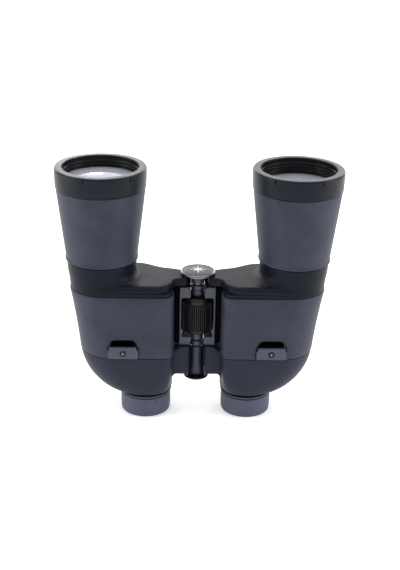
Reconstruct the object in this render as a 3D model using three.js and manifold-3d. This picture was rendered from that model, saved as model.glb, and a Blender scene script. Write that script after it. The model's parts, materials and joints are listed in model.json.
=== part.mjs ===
// Porro-prism field binoculars of the 10x50 class, standing on their eyecups.
//
// Millimetres. +Z runs along the optical axes, from the eyecup rims (z = 0) to the objective rims.
// The hinge axis and all four optical axes lie in the plane Y = 0. -Y is the side with the focus
// wheel, which is the top in use, and +Y is the underside, where the two halves fold together.
// Every piece of a half is built for the right half (+X) and mirrored for the left one.

import * as THREE from 'three';
import { mergeVertices } from 'three/addons/utils/BufferGeometryUtils.js';
import Module from 'manifold-3d';

const wasm = await Module();
wasm.setup();

// ---------------------------------------------------------------- driving dimensions

const LENGTH = 181.5;            // eyecup rims to objective rims
const OBJECTIVE_X = 66.4;        // objective axis from the hinge axis
const OCULAR_X = 36.2;           // eyepiece axis from the hinge axis: 72.4 mm between the eyes
const RIM_R = 31;                // outside of the objective ring
const BARREL_TOP = { r: 30.3, z: 167.5 };
const BARREL_ROOT = { r: 24.5, z: 116.7 };
const ARMOUR = 1.5;              // thickness of the rubber on the barrel
const GAP = 0.3;                 // air between pieces that touch

const SHOULDER_Z = 103.7;        // flat top of the bridge round the barrel
const SEAM_HIGH = 96;            // body armour meets the front cover
const SEAM_LOW = 50;             // body armour meets the rear cover
const COVER_END = 18.6;          // end of the rear cover
const CUP_TOP = 14.2;            // upper edge of the eyecup
const CUP_R = 17.8;
const COVER_R = 18.8;            // rear cover where it closes on the eyepiece

const LOBE_R = 25;               // outer end of the body, and half its depth
const LOBE_X = 57.4;             // centre of that end at the lower seam
const INNER_WALL_X = 16.5;       // wall that faces the hinge
const CORNER_R = 8;              // its rounded front corner
const BACK_ANGLE = THREE.MathUtils.degToRad(57);  // back wall from +Y, which leaves room to fold

const PRISM = { side: 16, half: 17.2, apex: 21.35, ridge: 20.7, lower: 71.1, upper: 72.9 };
const STEP_ASIDE = (OBJECTIVE_X - OCULAR_X) / 2;  // each prism moves the beam this far in X and Y

const WHEEL = { r: 10.5, low: 61.4, high: 88.8, ribs: 18 };
const FOCUS_TRAVEL = { in: 1.5, out: 5 };
const LEFT_ARM_Z = 43;           // underside of the left focus arm, where it holds the nut
const RIGHT_ARM_Z = 38;
const ARM_HEIGHT = 3.5;
const LEFT_LENS_RISE = 3;        // the left doublet is screwed in less far

const STRAP = { x: 51.4, low: 50.9, high: 60, width: 20.9, face: -26.4, screwZ: 54 };

const ROUND = 20;                // sides of a large round piece
const INNER_ROUND = 16;          // sides of a hidden one, or of a small one

// ---------------------------------------------------------------- geometry helpers

/** Merges shared vertices, drops slivers on the axis and turns the faces outwards. */
function tidy(geometry) {
  geometry.deleteAttribute('normal');
  geometry.deleteAttribute('uv');
  const merged = mergeVertices(geometry, 1e-4);
  const index = Array.from(merged.index.array);
  const kept = [];
  for (let i = 0; i < index.length; i += 3) {
    const [a, b, c] = index.slice(i, i + 3);
    if (a !== b && b !== c && c !== a) kept.push(a, b, c);
  }
  const at = merged.attributes.position;
  const corner = [new THREE.Vector3(), new THREE.Vector3(), new THREE.Vector3()];
  let volume = 0;
  for (let i = 0; i < kept.length; i += 3) {
    corner.forEach((v, k) => v.fromBufferAttribute(at, kept[i + k]));
    volume += corner[0].dot(corner[1].cross(corner[2]));
  }
  if (volume < 0) {
    for (let i = 0; i < kept.length; i += 3) [kept[i], kept[i + 1]] = [kept[i + 1], kept[i]];
  }
  merged.setIndex(kept);
  return merged;
}

/** Turns a piece on a lathe: profile is a list of [radius, z]. */
function turned(profile, sides = ROUND, x = 0) {
  const points = profile.map(([r, z]) => new THREE.Vector2(r, z));
  const geometry = new THREE.LatheGeometry(points, sides);
  geometry.rotateX(Math.PI / 2);
  geometry.translate(x, 0, 0);
  return tidy(geometry);
}

/** The same, for a ring-shaped piece whose profile closes on itself. */
function ring(profile, sides = ROUND, x = 0) {
  return turned([...profile, profile[0]], sides, x);
}

/** A plain tube between two radii and two heights. */
function sleeve(inner, outer, low, high, x = 0, sides = ROUND) {
  return ring([[inner, low], [outer, low], [outer, high], [inner, high]], sides, x);
}

/** A plain cylinder. */
function rod(r, low, high, x = 0, sides = ROUND) {
  return turned([[0, low], [r, low], [r, high], [0, high]], sides, x);
}

function box(x0, x1, y0, y1, z0, z1) {
  const geometry = new THREE.BoxGeometry(x1 - x0, y1 - y0, z1 - z0);
  geometry.translate((x0 + x1) / 2, (y0 + y1) / 2, (z0 + z1) / 2);
  return tidy(geometry);
}

/** Extrudes a shape in XY from z0 to z1. */
function upright(shape, z0, z1, curveSegments = 4) {
  const geometry = new THREE.ExtrudeGeometry(shape, {
    depth: z1 - z0, bevelEnabled: false, curveSegments,
  });
  geometry.translate(0, 0, z0);
  return tidy(geometry);
}

/** Extrudes a shape drawn in XZ along Y, from y0 to y1. */
function along(shape, y0, y1, curveSegments = 4) {
  const geometry = new THREE.ExtrudeGeometry(shape, {
    depth: y1 - y0, bevelEnabled: false, curveSegments,
  });
  geometry.rotateX(Math.PI / 2);
  geometry.translate(0, y1, 0);
  return tidy(geometry);
}

function polygon(points) {
  return new THREE.Shape(points.map(([x, y]) => new THREE.Vector2(x, y)));
}

/** A skin over rings of equal length, whose last ring joins the first: a hollow shell. */
function shell(rings) {
  const n = rings[0].length;
  const positions = rings.flat(2);
  const index = [];
  rings.forEach((_, k) => {
    const low = k * n;
    const high = ((k + 1) % rings.length) * n;
    for (let i = 0; i < n; i += 1) {
      const j = (i + 1) % n;
      index.push(low + i, low + j, high + j, low + i, high + j, high + i);
    }
  });
  const geometry = new THREE.BufferGeometry();
  geometry.setAttribute('position', new THREE.Float32BufferAttribute(positions, 3));
  geometry.setIndex(index);
  return tidy(geometry);
}

function solid(geometry) {
  const mesh = new wasm.Mesh({
    numProp: 3,
    vertProperties: Float32Array.from(geometry.attributes.position.array),
    triVerts: Uint32Array.from(geometry.index.array),
  });
  return new wasm.Manifold(mesh);
}

/** Joins a piece with others, then cuts the rest away. */
function worked(first, added, cut = []) {
  let body = solid(first);
  added.forEach((geometry) => { body = body.add(solid(geometry)); });
  cut.forEach((geometry) => { body = body.subtract(solid(geometry)); });
  return fromSolid(body);
}

function fromSolid(body) {
  const mesh = body.getMesh();
  const geometry = new THREE.BufferGeometry();
  geometry.setAttribute('position', new THREE.Float32BufferAttribute(mesh.vertProperties, 3));
  geometry.setIndex(Array.from(mesh.triVerts));
  return tidy(geometry);
}

/** The mirror image in the plane X = 0. */
function mirrored(geometry) {
  const copy = geometry.clone();
  copy.scale(-1, 1, 1);
  return tidy(copy);
}

// ---------------------------------------------------------------- outline of the body

/** Centre of the outer end at height z: the body leans outwards towards the objectives. */
function lobeCentre(z) {
  const rise = z - SEAM_LOW;
  return LOBE_X + 0.095 * rise + 0.00105 * rise * rise;
}

/** The body's outline at height z, moved inwards by inset, anticlockwise from the front. */
function outline(z, inset = 0) {
  const centre = lobeCentre(z);
  const r = LOBE_R - inset;
  const wall = INNER_WALL_X + inset;
  const corner = CORNER_R - inset;
  const tan = Math.tan(BACK_ANGLE);
  const backX = r * tan + inset / Math.cos(BACK_ANGLE);
  const backY = wall / tan - inset / Math.sin(BACK_ANGLE);
  const slope = ([x, y], step) => [x - step * Math.sin(BACK_ANGLE), y - step * Math.cos(BACK_ANGLE)];
  const points = [];
  for (let a = -90; a <= 90; a += 20) {
    const t = THREE.MathUtils.degToRad(a);
    points.push([centre + r * Math.cos(t), r * Math.sin(t)]);
  }
  const halfway = slope([backX, r], 13);
  const low = slope([wall, backY], -2);
  points.push([backX + 2.5, r], slope([backX, r], 2.5), halfway, low, [wall, backY - 2]);
  points.push([wall, 2], [wall, -8]);
  for (let a = 180; a < 270; a += 30) {
    const t = THREE.MathUtils.degToRad(a);
    points.push([wall + corner + corner * Math.cos(t), corner - r + corner * Math.sin(t)]);
  }
  points.push([wall + corner, -r], [wall + corner + 13, -r]);
  return points;
}

/** The outline as a ring of points in space. */
function level(z, inset) {
  return outline(z, inset).map(([x, y]) => [x, y, z]);
}

/** Points on a circle about (x, 0), each in the direction of the outline's own point. */
function facing(points, x, r, z) {
  return points.map(([px, py]) => {
    const reach = Math.hypot(px - x, py);
    return [x + ((px - x) * r) / reach, (py * r) / reach, z];
  });
}

// ---------------------------------------------------------------- objective end

const coneRadius = (z) => BARREL_ROOT.r
  + ((BARREL_TOP.r - BARREL_ROOT.r) * (z - BARREL_ROOT.z)) / (BARREL_TOP.z - BARREL_ROOT.z);

function objectiveRing() {
  return ring([
    [30.7, BARREL_TOP.z + GAP], [RIM_R, 176], [RIM_R, 180.2], [30, LENGTH], [25.8, LENGTH],
    [25.8, 178], [25, 178], [25, 174.2], [28.8, 174.2], [28.8, BARREL_TOP.z + GAP],
  ], ROUND, OBJECTIVE_X);
}

function objectiveTube() {
  const wall = ARMOUR + GAP;
  const top = BARREL_TOP.r - wall;
  const root = BARREL_ROOT.r - wall - 0.1;
  return ring([
    [top, 173.9], [top, BARREL_TOP.z - GAP], [root, BARREL_ROOT.z + 0.2], [21.2, 116.4], [21.2, 101.5],
    [19.9, 101.5], [19.9, 116.5], [25.2, 159], [25.2, 161.2], [27.1, 161.2], [27.1, 173.9],
  ], ROUND, OBJECTIVE_X);
}

function barrelArmour() {
  const lip = BARREL_ROOT.r + 0.5;
  return ring([
    [BARREL_TOP.r, BARREL_TOP.z], [coneRadius(118.6) + 0.1, 118.6], [lip, 118], [lip, BARREL_ROOT.z],
    [BARREL_ROOT.r - ARMOUR, BARREL_ROOT.z], [BARREL_TOP.r - ARMOUR, BARREL_TOP.z],
  ], ROUND, OBJECTIVE_X);
}

/** A lens between two edge heights; a sag is how far that face's middle stands above its edge. */
function lens(r, lowEdge, lowSag, highEdge, highSag, x, sides = ROUND) {
  const steps = 3;
  const profile = [];
  for (let i = 0; i <= steps; i += 1) {
    const t = i / steps;
    profile.push([r * t, lowEdge + lowSag * (1 - t * t)]);
  }
  for (let i = steps; i >= 0; i -= 1) {
    const t = i / steps;
    profile.push([r * t, highEdge + highSag * (1 - t * t)]);
  }
  return turned(profile, sides, x);
}

// ---------------------------------------------------------------- body shells

/** Dark cover from the upper seam to the barrel: a flat bridge that flares up into the neck. */
function frontCover() {
  const foot = SEAM_HIGH + GAP;
  const base = outline(SEAM_HIGH, 0.5);
  const neck = (z) => 24.2 - 0.09 * (116.4 - z);
  const flareZ = [foot, 101.2, 103.1, SHOULDER_Z, 104, 105.1, 107.3, 110.5];
  const evenZ = flareZ.map((_, k) => foot + ((110.5 - foot) * k) / 7);
  const ringAt = (k) => base.map(([px, py]) => {
    const reach = Math.hypot(px - OBJECTIVE_X, py);
    const free = reach - neck(SHOULDER_Z);
    const share = THREE.MathUtils.clamp(free / 8, 0, 1);
    const plateau = Math.min(Math.max(free - 3, 0), 12);
    const stand = [free, free, free - 0.9, free - 3, plateau * 0.5, plateau * 0.2, plateau * 0.07, 0];
    const even = free * (1 - k / 7);
    const z = THREE.MathUtils.lerp(evenZ[k], flareZ[k], share);
    const r = neck(Math.max(z, SHOULDER_Z)) + THREE.MathUtils.lerp(even, stand[k], share);
    return [OBJECTIVE_X + ((px - OBJECTIVE_X) * r) / reach, (py * r) / reach, z];
  });
  const bore = 21.5;
  const inner = bore - 1;
  const cover = shell([
    ...flareZ.map((_, k) => ringAt(k)),
    facing(base, OBJECTIVE_X, 24.2, 116.4),
    facing(base, OBJECTIVE_X, inner, 116.4),
    facing(base, OBJECTIVE_X, inner, 101.4),
    level(SEAM_HIGH, 2.6).map(([x, y]) => [x, y, 101]),
    level(SEAM_HIGH, 2.6).map(([x, y]) => [x, y, foot]),
  ]);
  const lug = upright(polygon([
    [7.2, -9.2], [8.6, -10.6], [18.5, -10.6], [18.5, 8], [9, 8], [7.2, 6.5],
  ]), 98.8, 104.6);
  return worked(cover, [lug], [rod(bore, 101, 117, OBJECTIVE_X)]);
}

/** How much of the full outline is left at height z on the rear cover, 1 at the seam. */
function fullness(z) {
  const power = 1.7;
  const t = (SEAM_LOW - z) / 32;
  return (1 - t ** power) ** (1 / power);
}

/** Dark cover from the lower seam, rounded down to the eyepiece, with the lower hinge lug. */
function rearCover(armZ) {
  const ringAt = (z, inset, share) => {
    const full = outline(SEAM_LOW, 0.4 + inset);
    const end = facing(full, OCULAR_X, COVER_R - inset, z);
    return full.map(([x, y], i) => [
      THREE.MathUtils.lerp(end[i][0], x, share), THREE.MathUtils.lerp(end[i][1], y, share), z,
    ]);
  };
  const wall = 2.2;
  const bore = 14.4;
  const outside = [COVER_END, 20.5, 25, 31, 39, SEAM_LOW].map((z) => ringAt(z, 0, fullness(z)));
  const inside = [39, 30, 22.5].map((z) => ringAt(z, wall, fullness(z - 2.6)));
  const cover = shell([
    ...outside, ringAt(SEAM_LOW, wall, 1), ...inside,
    facing(outline(SEAM_LOW, 0.4), OCULAR_X, bore - 1, 21.5),
    facing(outline(SEAM_LOW, 0.4), OCULAR_X, bore - 1, COVER_END),
  ]);
  const lug = along(polygon([
    [5.8, 31], [18.3, 31], [18.3, 49.9], [15.2, 49.9], [14.7, 50.8], [13.2, 52.3], [11.5, 52.8], [5.8, 52.8],
  ]), -10.6, 7);
  const slotLow = armZ - FOCUS_TRAVEL.out - 0.4;
  const slotHigh = armZ + ARM_HEIGHT + FOCUS_TRAVEL.in + 0.4;
  const slot = box(5, 21.2, 0.7, 5.5, slotLow, slotHigh);
  return worked(cover, [lug], [slot, rod(bore, 18, 22, OCULAR_X)]);
}

/** Rubber skin between the seams, open towards the hinge and round the strap lug's pocket. */
function bodyArmour() {
  const levels = [SEAM_LOW + GAP, 73, SEAM_HIGH];
  const skin = shell([
    ...levels.map((z) => level(z, 0)),
    ...levels.toReversed().map((z) => level(z, 1.3)),
  ]);
  const bracketWay = box(14, 21, -4.4, 6.6, 49, 97);
  const half = STRAP.width / 2 - 1.4;
  const pocket = along(polygon([
    [STRAP.x - half, 49], [STRAP.x + half, 49], [STRAP.x + half, 60.5], [STRAP.x + 7, 64.8],
    [STRAP.x - 7, 64.8], [STRAP.x - half, 60.5],
  ]), -27, -22);
  return worked(skin, [], [bracketWay, pocket]);
}

/** A curved wall that turns in behind the focus wheel and stops where the halves still fold past it. */
function wheelFlange() {
  const start = THREE.MathUtils.degToRad(22);
  const end = THREE.MathUtils.degToRad(52);
  const plan = new THREE.Shape();
  plan.absarc(0, 0, 12.6, start, end);
  plan.absarc(0, 0, 11.4, end, start, true);
  return upright(plan, 58.5, 90, 6);
}

/** Cast frame under the armour, with the bracket round the wheel and the hinge knuckles. */
function prismHousing(knuckles) {
  const levels = [SEAM_LOW + GAP, 73, SEAM_HIGH];
  const frame = shell([
    ...levels.map((z) => level(z, 1.6)),
    ...levels.toReversed().map((z) => level(z, 2.8)),
  ]);
  const low = 53.1;
  const bracket = [
    box(12.3, 18.8, -4, 6, low, SEAM_HIGH),
    box(11.3, 12.6, -8, 6, low, 97.3),
    box(4.9, 12.6, -8, 6, 89.2, 97.3),
    box(4.9, 12.6, -8, 6, low, 59.4),
    box(4.6, 6.9, 4.4, 6, 97, 104.6),
    wheelFlange(),
  ];
  const pocketWall = box(STRAP.x - 9, STRAP.x + 9, -23, -18.2, 55.3, 65.4);
  const pocket = box(STRAP.x - 7.9, STRAP.x + 7.9, -26, -19.2, 56.3, 64.4);
  const clearHinge = rod(3.2, 50, 103);
  const joined = worked(frame, [...bracket, pocketWall, ...knuckles.blocks], [pocket, clearHinge]);
  return worked(joined, knuckles.rings);
}

/** The left half carries the tripod socket on top and the knuckle under the wheel. */
const leftKnuckles = {
  blocks: [
    box(5, 6.9, -2.5, 2.5, 96, 102.7), box(3.7, 6.9, -2.5, 2.5, 98.3, 102.7), box(3.4, 5.2, -2.4, 2.4, 55.5, 59.4),
  ],
  rings: [sleeve(3.2, 4.6, 98.3, 104.8), sleeve(2.65, 4.7, 55.5, 61)],
};

const rightKnuckles = {
  blocks: [
    box(3.6, 5.2, -2.5, 2.5, 93.5, 96.9), box(4.25, 5.4, -2.4, 2.4, 50.7, 54.4),
    box(4.95, 5.4, -2.4, 2.4, 50.7, 59.4),
  ],
  rings: [sleeve(1.75, 4.7, 93.5, 96.9), sleeve(2.65, 4.7, 50.7, 54.4)],
};

// ---------------------------------------------------------------- prisms

/** Moves a piece from its own axis to a prism's place and turns its long way to the beam's. */
function placed(geometry, x, turn) {
  geometry.rotateZ(turn);
  geometry.translate(x, STEP_ASIDE / 2, 0);
  return geometry;
}

/** A right-angle prism with rounded ends; ridge up, standing on z = 0. */
function prismShape() {
  const end = PRISM.side / 2;
  const straight = PRISM.half - end;
  const plan = new THREE.Shape();
  plan.absarc(straight, 0, end, -Math.PI / 2, Math.PI / 2);
  plan.absarc(-straight, 0, end, Math.PI / 2, (3 * Math.PI) / 2);
  const block = upright(plan, 0, PRISM.ridge, 5);
  const roof = along(polygon([
    [-PRISM.apex, 0], [PRISM.apex, 0], [0, PRISM.apex],
  ]), -20, 20);
  return fromSolid(solid(block).intersect(solid(roof)));
}

/** Spring clip that holds a prism on its plate: a strap over the ridge and down both sides. */
function clipShape() {
  const inner = PRISM.side / 2 + GAP;
  const outer = inner + 0.6;
  const high = PRISM.ridge + GAP;
  const strap = along(polygon([
    [-outer, 0], [-inner, 0], [-inner, high], [inner, high], [inner, 0], [outer, 0],
    [outer, high + 0.6], [-outer, high + 0.6],
  ]), -2.5, 2.5);
  strap.rotateZ(Math.PI / 2);
  return strap;
}

function upperPiece(shape) {
  const geometry = shape();
  geometry.translate(0, 0, PRISM.upper);
  return tidy(placed(geometry, OCULAR_X + STEP_ASIDE / 2, Math.PI / 4));
}

function lowerPiece(shape) {
  const geometry = shape();
  geometry.rotateX(Math.PI);
  geometry.translate(0, 0, PRISM.lower);
  return tidy(placed(geometry, OBJECTIVE_X - STEP_ASIDE / 2, -Math.PI / 4));
}

/** Plate between the prisms, with a hole where the beam passes each time. */
function prismPlate() {
  const plate = polygon(outline(72, 3.1));
  const beams = [[OBJECTIVE_X, 0], [OBJECTIVE_X - STEP_ASIDE, STEP_ASIDE], [OCULAR_X, 0]];
  beams.forEach(([x, y]) => {
    const hole = new THREE.Path();
    hole.absarc(x, y, 6.2, 0, 2 * Math.PI, true);
    plate.holes.push(hole);
  });
  return upright(plate, 71.4, 72.6, 6);
}

// ---------------------------------------------------------------- strap lug

/** A rectangle with rounded corners, centred on x, between two heights. */
function roundedPlate(x, width, low, high, r) {
  const shape = new THREE.Shape();
  const left = x - width / 2;
  const right = x + width / 2;
  shape.absarc(right - r, low + r, r, -Math.PI / 2, 0);
  shape.absarc(right - r, high - r, r, 0, Math.PI / 2);
  shape.absarc(left + r, high - r, r, Math.PI / 2, Math.PI);
  shape.absarc(left + r, low + r, r, Math.PI, 1.5 * Math.PI);
  return shape;
}

/** Plate screwed to the body, whose raised upper edge is the bar that the strap goes behind. */
function strapLug() {
  const plateShape = roundedPlate(STRAP.x, STRAP.width, STRAP.low, STRAP.high, 1.6);
  const plate = along(plateShape, STRAP.face, -25.3, 2);
  const barShape = roundedPlate(STRAP.x, STRAP.width - 1.6, 57.4, STRAP.high, 1);
  const bar = along(barShape, STRAP.face - 0.9, -25.6, 2);
  const pad = box(STRAP.x - 7.5, STRAP.x + 7.5, -25.6, -23.8, 51.3, 55.9);
  return worked(plate, [bar, pad], [screwShape(1.5, 1.5)]);
}

/** A pin along Y at the strap screw: head radius, shank radius. */
function screwShape(head, shank) {
  const geometry = turned([
    [0, -STRAP.face + 1], [head, -STRAP.face + 1], [head, -STRAP.face + GAP], [shank, -STRAP.face + GAP],
    [shank, 23.9], [0, 23.9],
  ], INNER_ROUND);
  geometry.rotateX(Math.PI / 2);
  geometry.translate(STRAP.x, 0, STRAP.screwZ);
  return tidy(geometry);
}

// ---------------------------------------------------------------- eyepieces

function eyecup(bore) {
  return ring([
    [CUP_R, CUP_TOP], [CUP_R, 2], [17.3, 0.7], [16.4, 0], [15, 0], [14.6, 0.5], [14.2, 8.2],
    [bore, 8.6], [bore, CUP_TOP],
  ], ROUND, OCULAR_X);
}

/** Arm from a ring round the focus nut to a collar round the eyepiece tube. */
function focusArm(z) {
  const top = z + ARM_HEIGHT;
  const bar = box(3.9, 21.5, 1.2, 5, z, top);
  const arm = worked(bar, [], [rod(3.7, z - 1, top + 1), rod(15, z - 1, top + 1, OCULAR_X)]);
  return worked(arm, [sleeve(3.5, 4.15, z, top, 0, INNER_ROUND), sleeve(14.3, 16.2, z, top, OCULAR_X)]);
}

// ---------------------------------------------------------------- hinge and focus drive

function hingeAxle() {
  return turned([
    [0, 27.6], [4, 27.6], [4, 28.8], [1.5, 28.8], [1.5, 97.2], [3.4, 97.2], [3.4, 98], [0, 98],
  ], INNER_ROUND);
}

/** Front half of the tube round the focus nut; its back is open for the focus arms. */
function centreTube() {
  const open = THREE.MathUtils.degToRad(10);
  const plan = new THREE.Shape();
  plan.absarc(0, 0, 5, Math.PI - open, 2 * Math.PI + open);
  plan.absarc(0, 0, 4.4, 2 * Math.PI + open, Math.PI - open, true);
  const rails = [box(4.7, 5.6, -4, 0.4, 28, 50), box(-5.6, -4.7, -4, 0.4, 28, 50)];
  return worked(upright(plan, 27.6, 50.4, 14), rails);
}

function hingeCap() {
  return turned([
    [0, 99.4], [2.9, 99.4], [2.9, 105.1], [11.2, 105.1], [12.1, 105.7], [12.1, 106.4], [10.6, 107.1],
    [6, 107.6], [0, 107.8],
  ], ROUND);
}

function hingeBottomCap() {
  return turned([[0, 24.6], [6, 24.8], [8.4, 25.5], [9, 26.3], [9, 27.3], [0, 27.3]]);
}

/** Ribbed wheel with a smooth band at its upper end. */
function focusWheel() {
  const sides = WHEEL.ribs * 2;
  const circle = (r, z, rib = 0) => Array.from({ length: sides }, (_, i) => {
    const t = (i * 2 * Math.PI) / sides;
    const radius = r - (i % 2) * rib;
    return [radius * Math.cos(t), radius * Math.sin(t), z];
  });
  const bore = 2.7;
  return shell([
    circle(8.6, WHEEL.low), circle(9.9, 62.6), circle(WHEEL.r, 64, 0.5), circle(WHEEL.r, 84.1, 0.5),
    circle(10.2, 84.7), circle(10.2, 87.4), circle(8.8, WHEEL.high), circle(bore, WHEEL.high),
    circle(bore, WHEEL.low),
  ]);
}

// ---------------------------------------------------------------- finishes

const finish = (name, color, roughness, metalness) => {
  const make = () => new THREE.MeshStandardMaterial({ name, color, roughness, metalness });
  return make;
};
const armourRubber = finish('armour rubber', 0x40424e, 0.62, 0);
const darkCover = finish('dark cover', 0x2a2d35, 0.5, 0);
const rearRubber = finish('rear cover', 0x353945, 0.58, 0);
const blackRing = finish('black ring', 0x26282e, 0.42, 0);
const cupRubber = finish('eyecup rubber', 0x4b4e5c, 0.66, 0);
const greyMetal = finish('grey metal', 0x5c6070, 0.42, 0.6);
const capMetal = finish('satin aluminium', 0xa6a6ac, 0.3, 1);
const steel = finish('steel', 0x8a8c92, 0.32, 1);
const brass = finish('brass', 0xa88a4a, 0.35, 1);
const blackMetal = finish('blackened metal', 0x17181b, 0.5, 0.4);
const wheelRubber = finish('wheel rubber', 0x1f2024, 0.55, 0);
const tubeBlue = finish('anodised tube', 0x262b3a, 0.4, 0.5);
const glass = finish('coated glass', 0x9aa2a8, 0.05, 0);
const prismGlass = finish('prism glass', 0xb9c4c6, 0.04, 0);

// ---------------------------------------------------------------- assembly

const binoculars = new THREE.Group();
binoculars.name = 'binoculars';

function addMesh(name, geometry, material) {
  const mesh = new THREE.Mesh(geometry, material());
  mesh.name = name;
  binoculars.add(mesh);
}

/** The pieces that each half has, as [name, geometry of the right half, finish]. */
function halfPieces(side) {
  const left = side === 'left';
  const armZ = left ? LEFT_ARM_Z : RIGHT_ARM_Z;
  const lensRise = left ? LEFT_LENS_RISE : 0;
  return [
    ['objective_ring', objectiveRing(), blackRing],
    ['objective_retainer', sleeve(25, 26.8, 170.3 + lensRise, 174, OBJECTIVE_X), blackMetal],
    ['objective_crown', lens(26.6, 167 + lensRise, -2.8, 170 + lensRise, 3, OBJECTIVE_X), glass],
    ['objective_flint', lens(
      26.6, 161.5 + lensRise, -1, 166.7 + lensRise, -2.8, OBJECTIVE_X, INNER_ROUND), glass],
    ['objective_tube', objectiveTube(), blackMetal],
    ['barrel_armour', barrelArmour(), armourRubber],
    ['front_cover', frontCover(), darkCover],
    ['prism_housing', prismHousing(left ? leftKnuckles : rightKnuckles), greyMetal],
    ['body_armour', bodyArmour(), armourRubber],
    ['rear_cover', rearCover(armZ), rearRubber],
    ['lower_prism', lowerPiece(prismShape), prismGlass],
    ['upper_prism', upperPiece(prismShape), prismGlass],
    ['prism_plate', prismPlate(), blackMetal],
    ['lower_prism_clip', lowerPiece(clipShape), steel],
    ['upper_prism_clip', upperPiece(clipShape), steel],
    ['strap_lug', strapLug(), greyMetal],
    ['strap_screw', screwShape(2.1, 1.2), steel],
    ['ocular_tube', sleeve(12.7, 14, 16.7, 47, OCULAR_X), blackMetal],
    ['field_lens', lens(12.3, 29, -1.6, 31, 1.2, OCULAR_X, INNER_ROUND), glass],
    ['field_stop', sleeve(8.2, 12.4, 24, 25.2, OCULAR_X, INNER_ROUND), blackMetal],
    ['eye_cell', sleeve(9.9, 11.9, 8.4, 20, OCULAR_X), blackMetal],
    ['eye_lens', lens(9.6, 11, -1.2, 13, 1.4, OCULAR_X, INNER_ROUND), glass],
    ['ocular_ring', sleeve(12.3, 18.4, 14.8, 16.4, OCULAR_X), blackRing],
    ['eyecup', eyecup(left ? 13.8 : 12.3), cupRubber],
    ['focus_arm', focusArm(armZ), brass],
  ];
}

['left', 'right'].forEach((side) => {
  halfPieces(side).forEach(([name, geometry, material]) => {
    addMesh(`${side}_${name}`, side === 'left' ? mirrored(geometry) : geometry, material);
  });
});

addMesh('left_diopter_ring', mirrored(sleeve(12.2, 13.5, 8.8, CUP_TOP, OCULAR_X)), steel);
addMesh('hinge_axle', hingeAxle(), steel);
addMesh('centre_tube', centreTube(), tubeBlue);
addMesh('wheel_collar', sleeve(1.75, 4.7, 89.1, 93.2, 0, INNER_ROUND), greyMetal);
addMesh('hinge_cap', hingeCap(), capMetal);
addMesh('hinge_bottom_cap', hingeBottomCap(), blackMetal);
addMesh('focus_wheel', focusWheel(), wheelRubber);
addMesh('focus_spindle', sleeve(1.75, 2.35, 36, 86, 0, INNER_ROUND), steel);
addMesh('focus_nut', sleeve(2.65, 3.3, 36, 49, 0, INNER_ROUND), brass);

export default binoculars;
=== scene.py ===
# %% [markdown]
# # Binoculars, standing on their eyecups
# Porro-prism binoculars are two mirror-image telescopes on one hinge. Each has a tapered barrel with the
# big front lens, a prism body in the middle and an eyepiece at the bottom. The fixed model from the
# workshop gives every place and size; this file gives each visible piece its fine surface and its finish.

# %% Load the fixed model
import json
import math

import bmesh
import bpy
from mathutils import Matrix, Vector


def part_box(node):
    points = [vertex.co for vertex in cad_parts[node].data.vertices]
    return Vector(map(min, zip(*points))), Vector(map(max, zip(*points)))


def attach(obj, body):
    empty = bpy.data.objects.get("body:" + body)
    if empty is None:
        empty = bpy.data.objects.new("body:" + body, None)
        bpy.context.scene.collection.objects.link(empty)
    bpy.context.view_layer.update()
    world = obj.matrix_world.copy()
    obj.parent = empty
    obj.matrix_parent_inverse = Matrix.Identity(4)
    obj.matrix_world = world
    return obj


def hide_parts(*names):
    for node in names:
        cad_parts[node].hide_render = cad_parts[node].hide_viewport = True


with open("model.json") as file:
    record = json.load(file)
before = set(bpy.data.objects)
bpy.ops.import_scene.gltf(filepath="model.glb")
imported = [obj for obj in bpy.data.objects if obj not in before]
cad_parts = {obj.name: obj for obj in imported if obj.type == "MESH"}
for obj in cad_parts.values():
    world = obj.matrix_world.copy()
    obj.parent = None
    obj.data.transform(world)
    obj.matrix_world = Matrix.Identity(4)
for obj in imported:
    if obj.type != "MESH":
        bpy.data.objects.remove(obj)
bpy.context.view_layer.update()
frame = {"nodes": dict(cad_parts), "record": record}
MM = 0.001

# %% [markdown]
# ## The sizes that the rest is built on
# Nothing is measured twice: a node's box says where its axis is and how wide and high it is. All working
# sizes below are in millimetres, because that is how a maker reads a drawing; MM turns them into metres.

# %% Read the main sizes from the frame
def node_box(node):
    """Lowest and highest corner of a node, in millimetres."""
    low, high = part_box(node)
    return [v / MM for v in low], [v / MM for v in high]


def axis_of(node):
    """X and outer radius of a round node that stands upright."""
    low, high = node_box(node)
    return (low[0] + high[0]) / 2, (high[0] - low[0]) / 2


OBJECTIVE_X, RIM_R = axis_of("right_objective_ring")
OCULAR_X, CUP_R = axis_of("right_eyecup")
BARREL_R = axis_of("right_barrel_armour")[1]
RIM_LOW, RIM_HIGH = (corner[2] for corner in node_box("right_objective_ring"))
SLEEVE_LOW, SLEEVE_HIGH = (corner[2] for corner in node_box("right_barrel_armour"))
SKIN_LOW, SKIN_HIGH = (corner[2] for corner in node_box("right_body_armour"))
COVER_LOW, NECK_HIGH = (corner[2] for corner in node_box("right_front_cover"))
REAR_LOW = node_box("right_rear_cover")[0][2]
CUP_TOP = node_box("right_eyecup")[1][2]
HALF_DEPTH = node_box("right_body_armour")[1][1]
WALL_X = node_box("right_body_armour")[0][0]
SEAM_GAP = 0.3
SEAM_HIGH = SKIN_HIGH
SEAM_LOW = SKIN_LOW - SEAM_GAP
print(f"objective axis {OBJECTIVE_X:.1f}, eyepiece axis {OCULAR_X:.1f}, height {RIM_HIGH:.1f} mm")

# %% [markdown]
# ## Working habits
# Every piece starts as a primitive, is shaped in edit mode and is finished with modifiers. Operators act on
# all that is selected, so each step starts by clearing the selection.

# %% Helpers for selecting and for finishing a piece
def deselect():
    if bpy.context.object and bpy.context.object.mode != "OBJECT":
        bpy.ops.object.mode_set(mode="OBJECT")
    bpy.ops.object.select_all(action="DESELECT")


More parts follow.
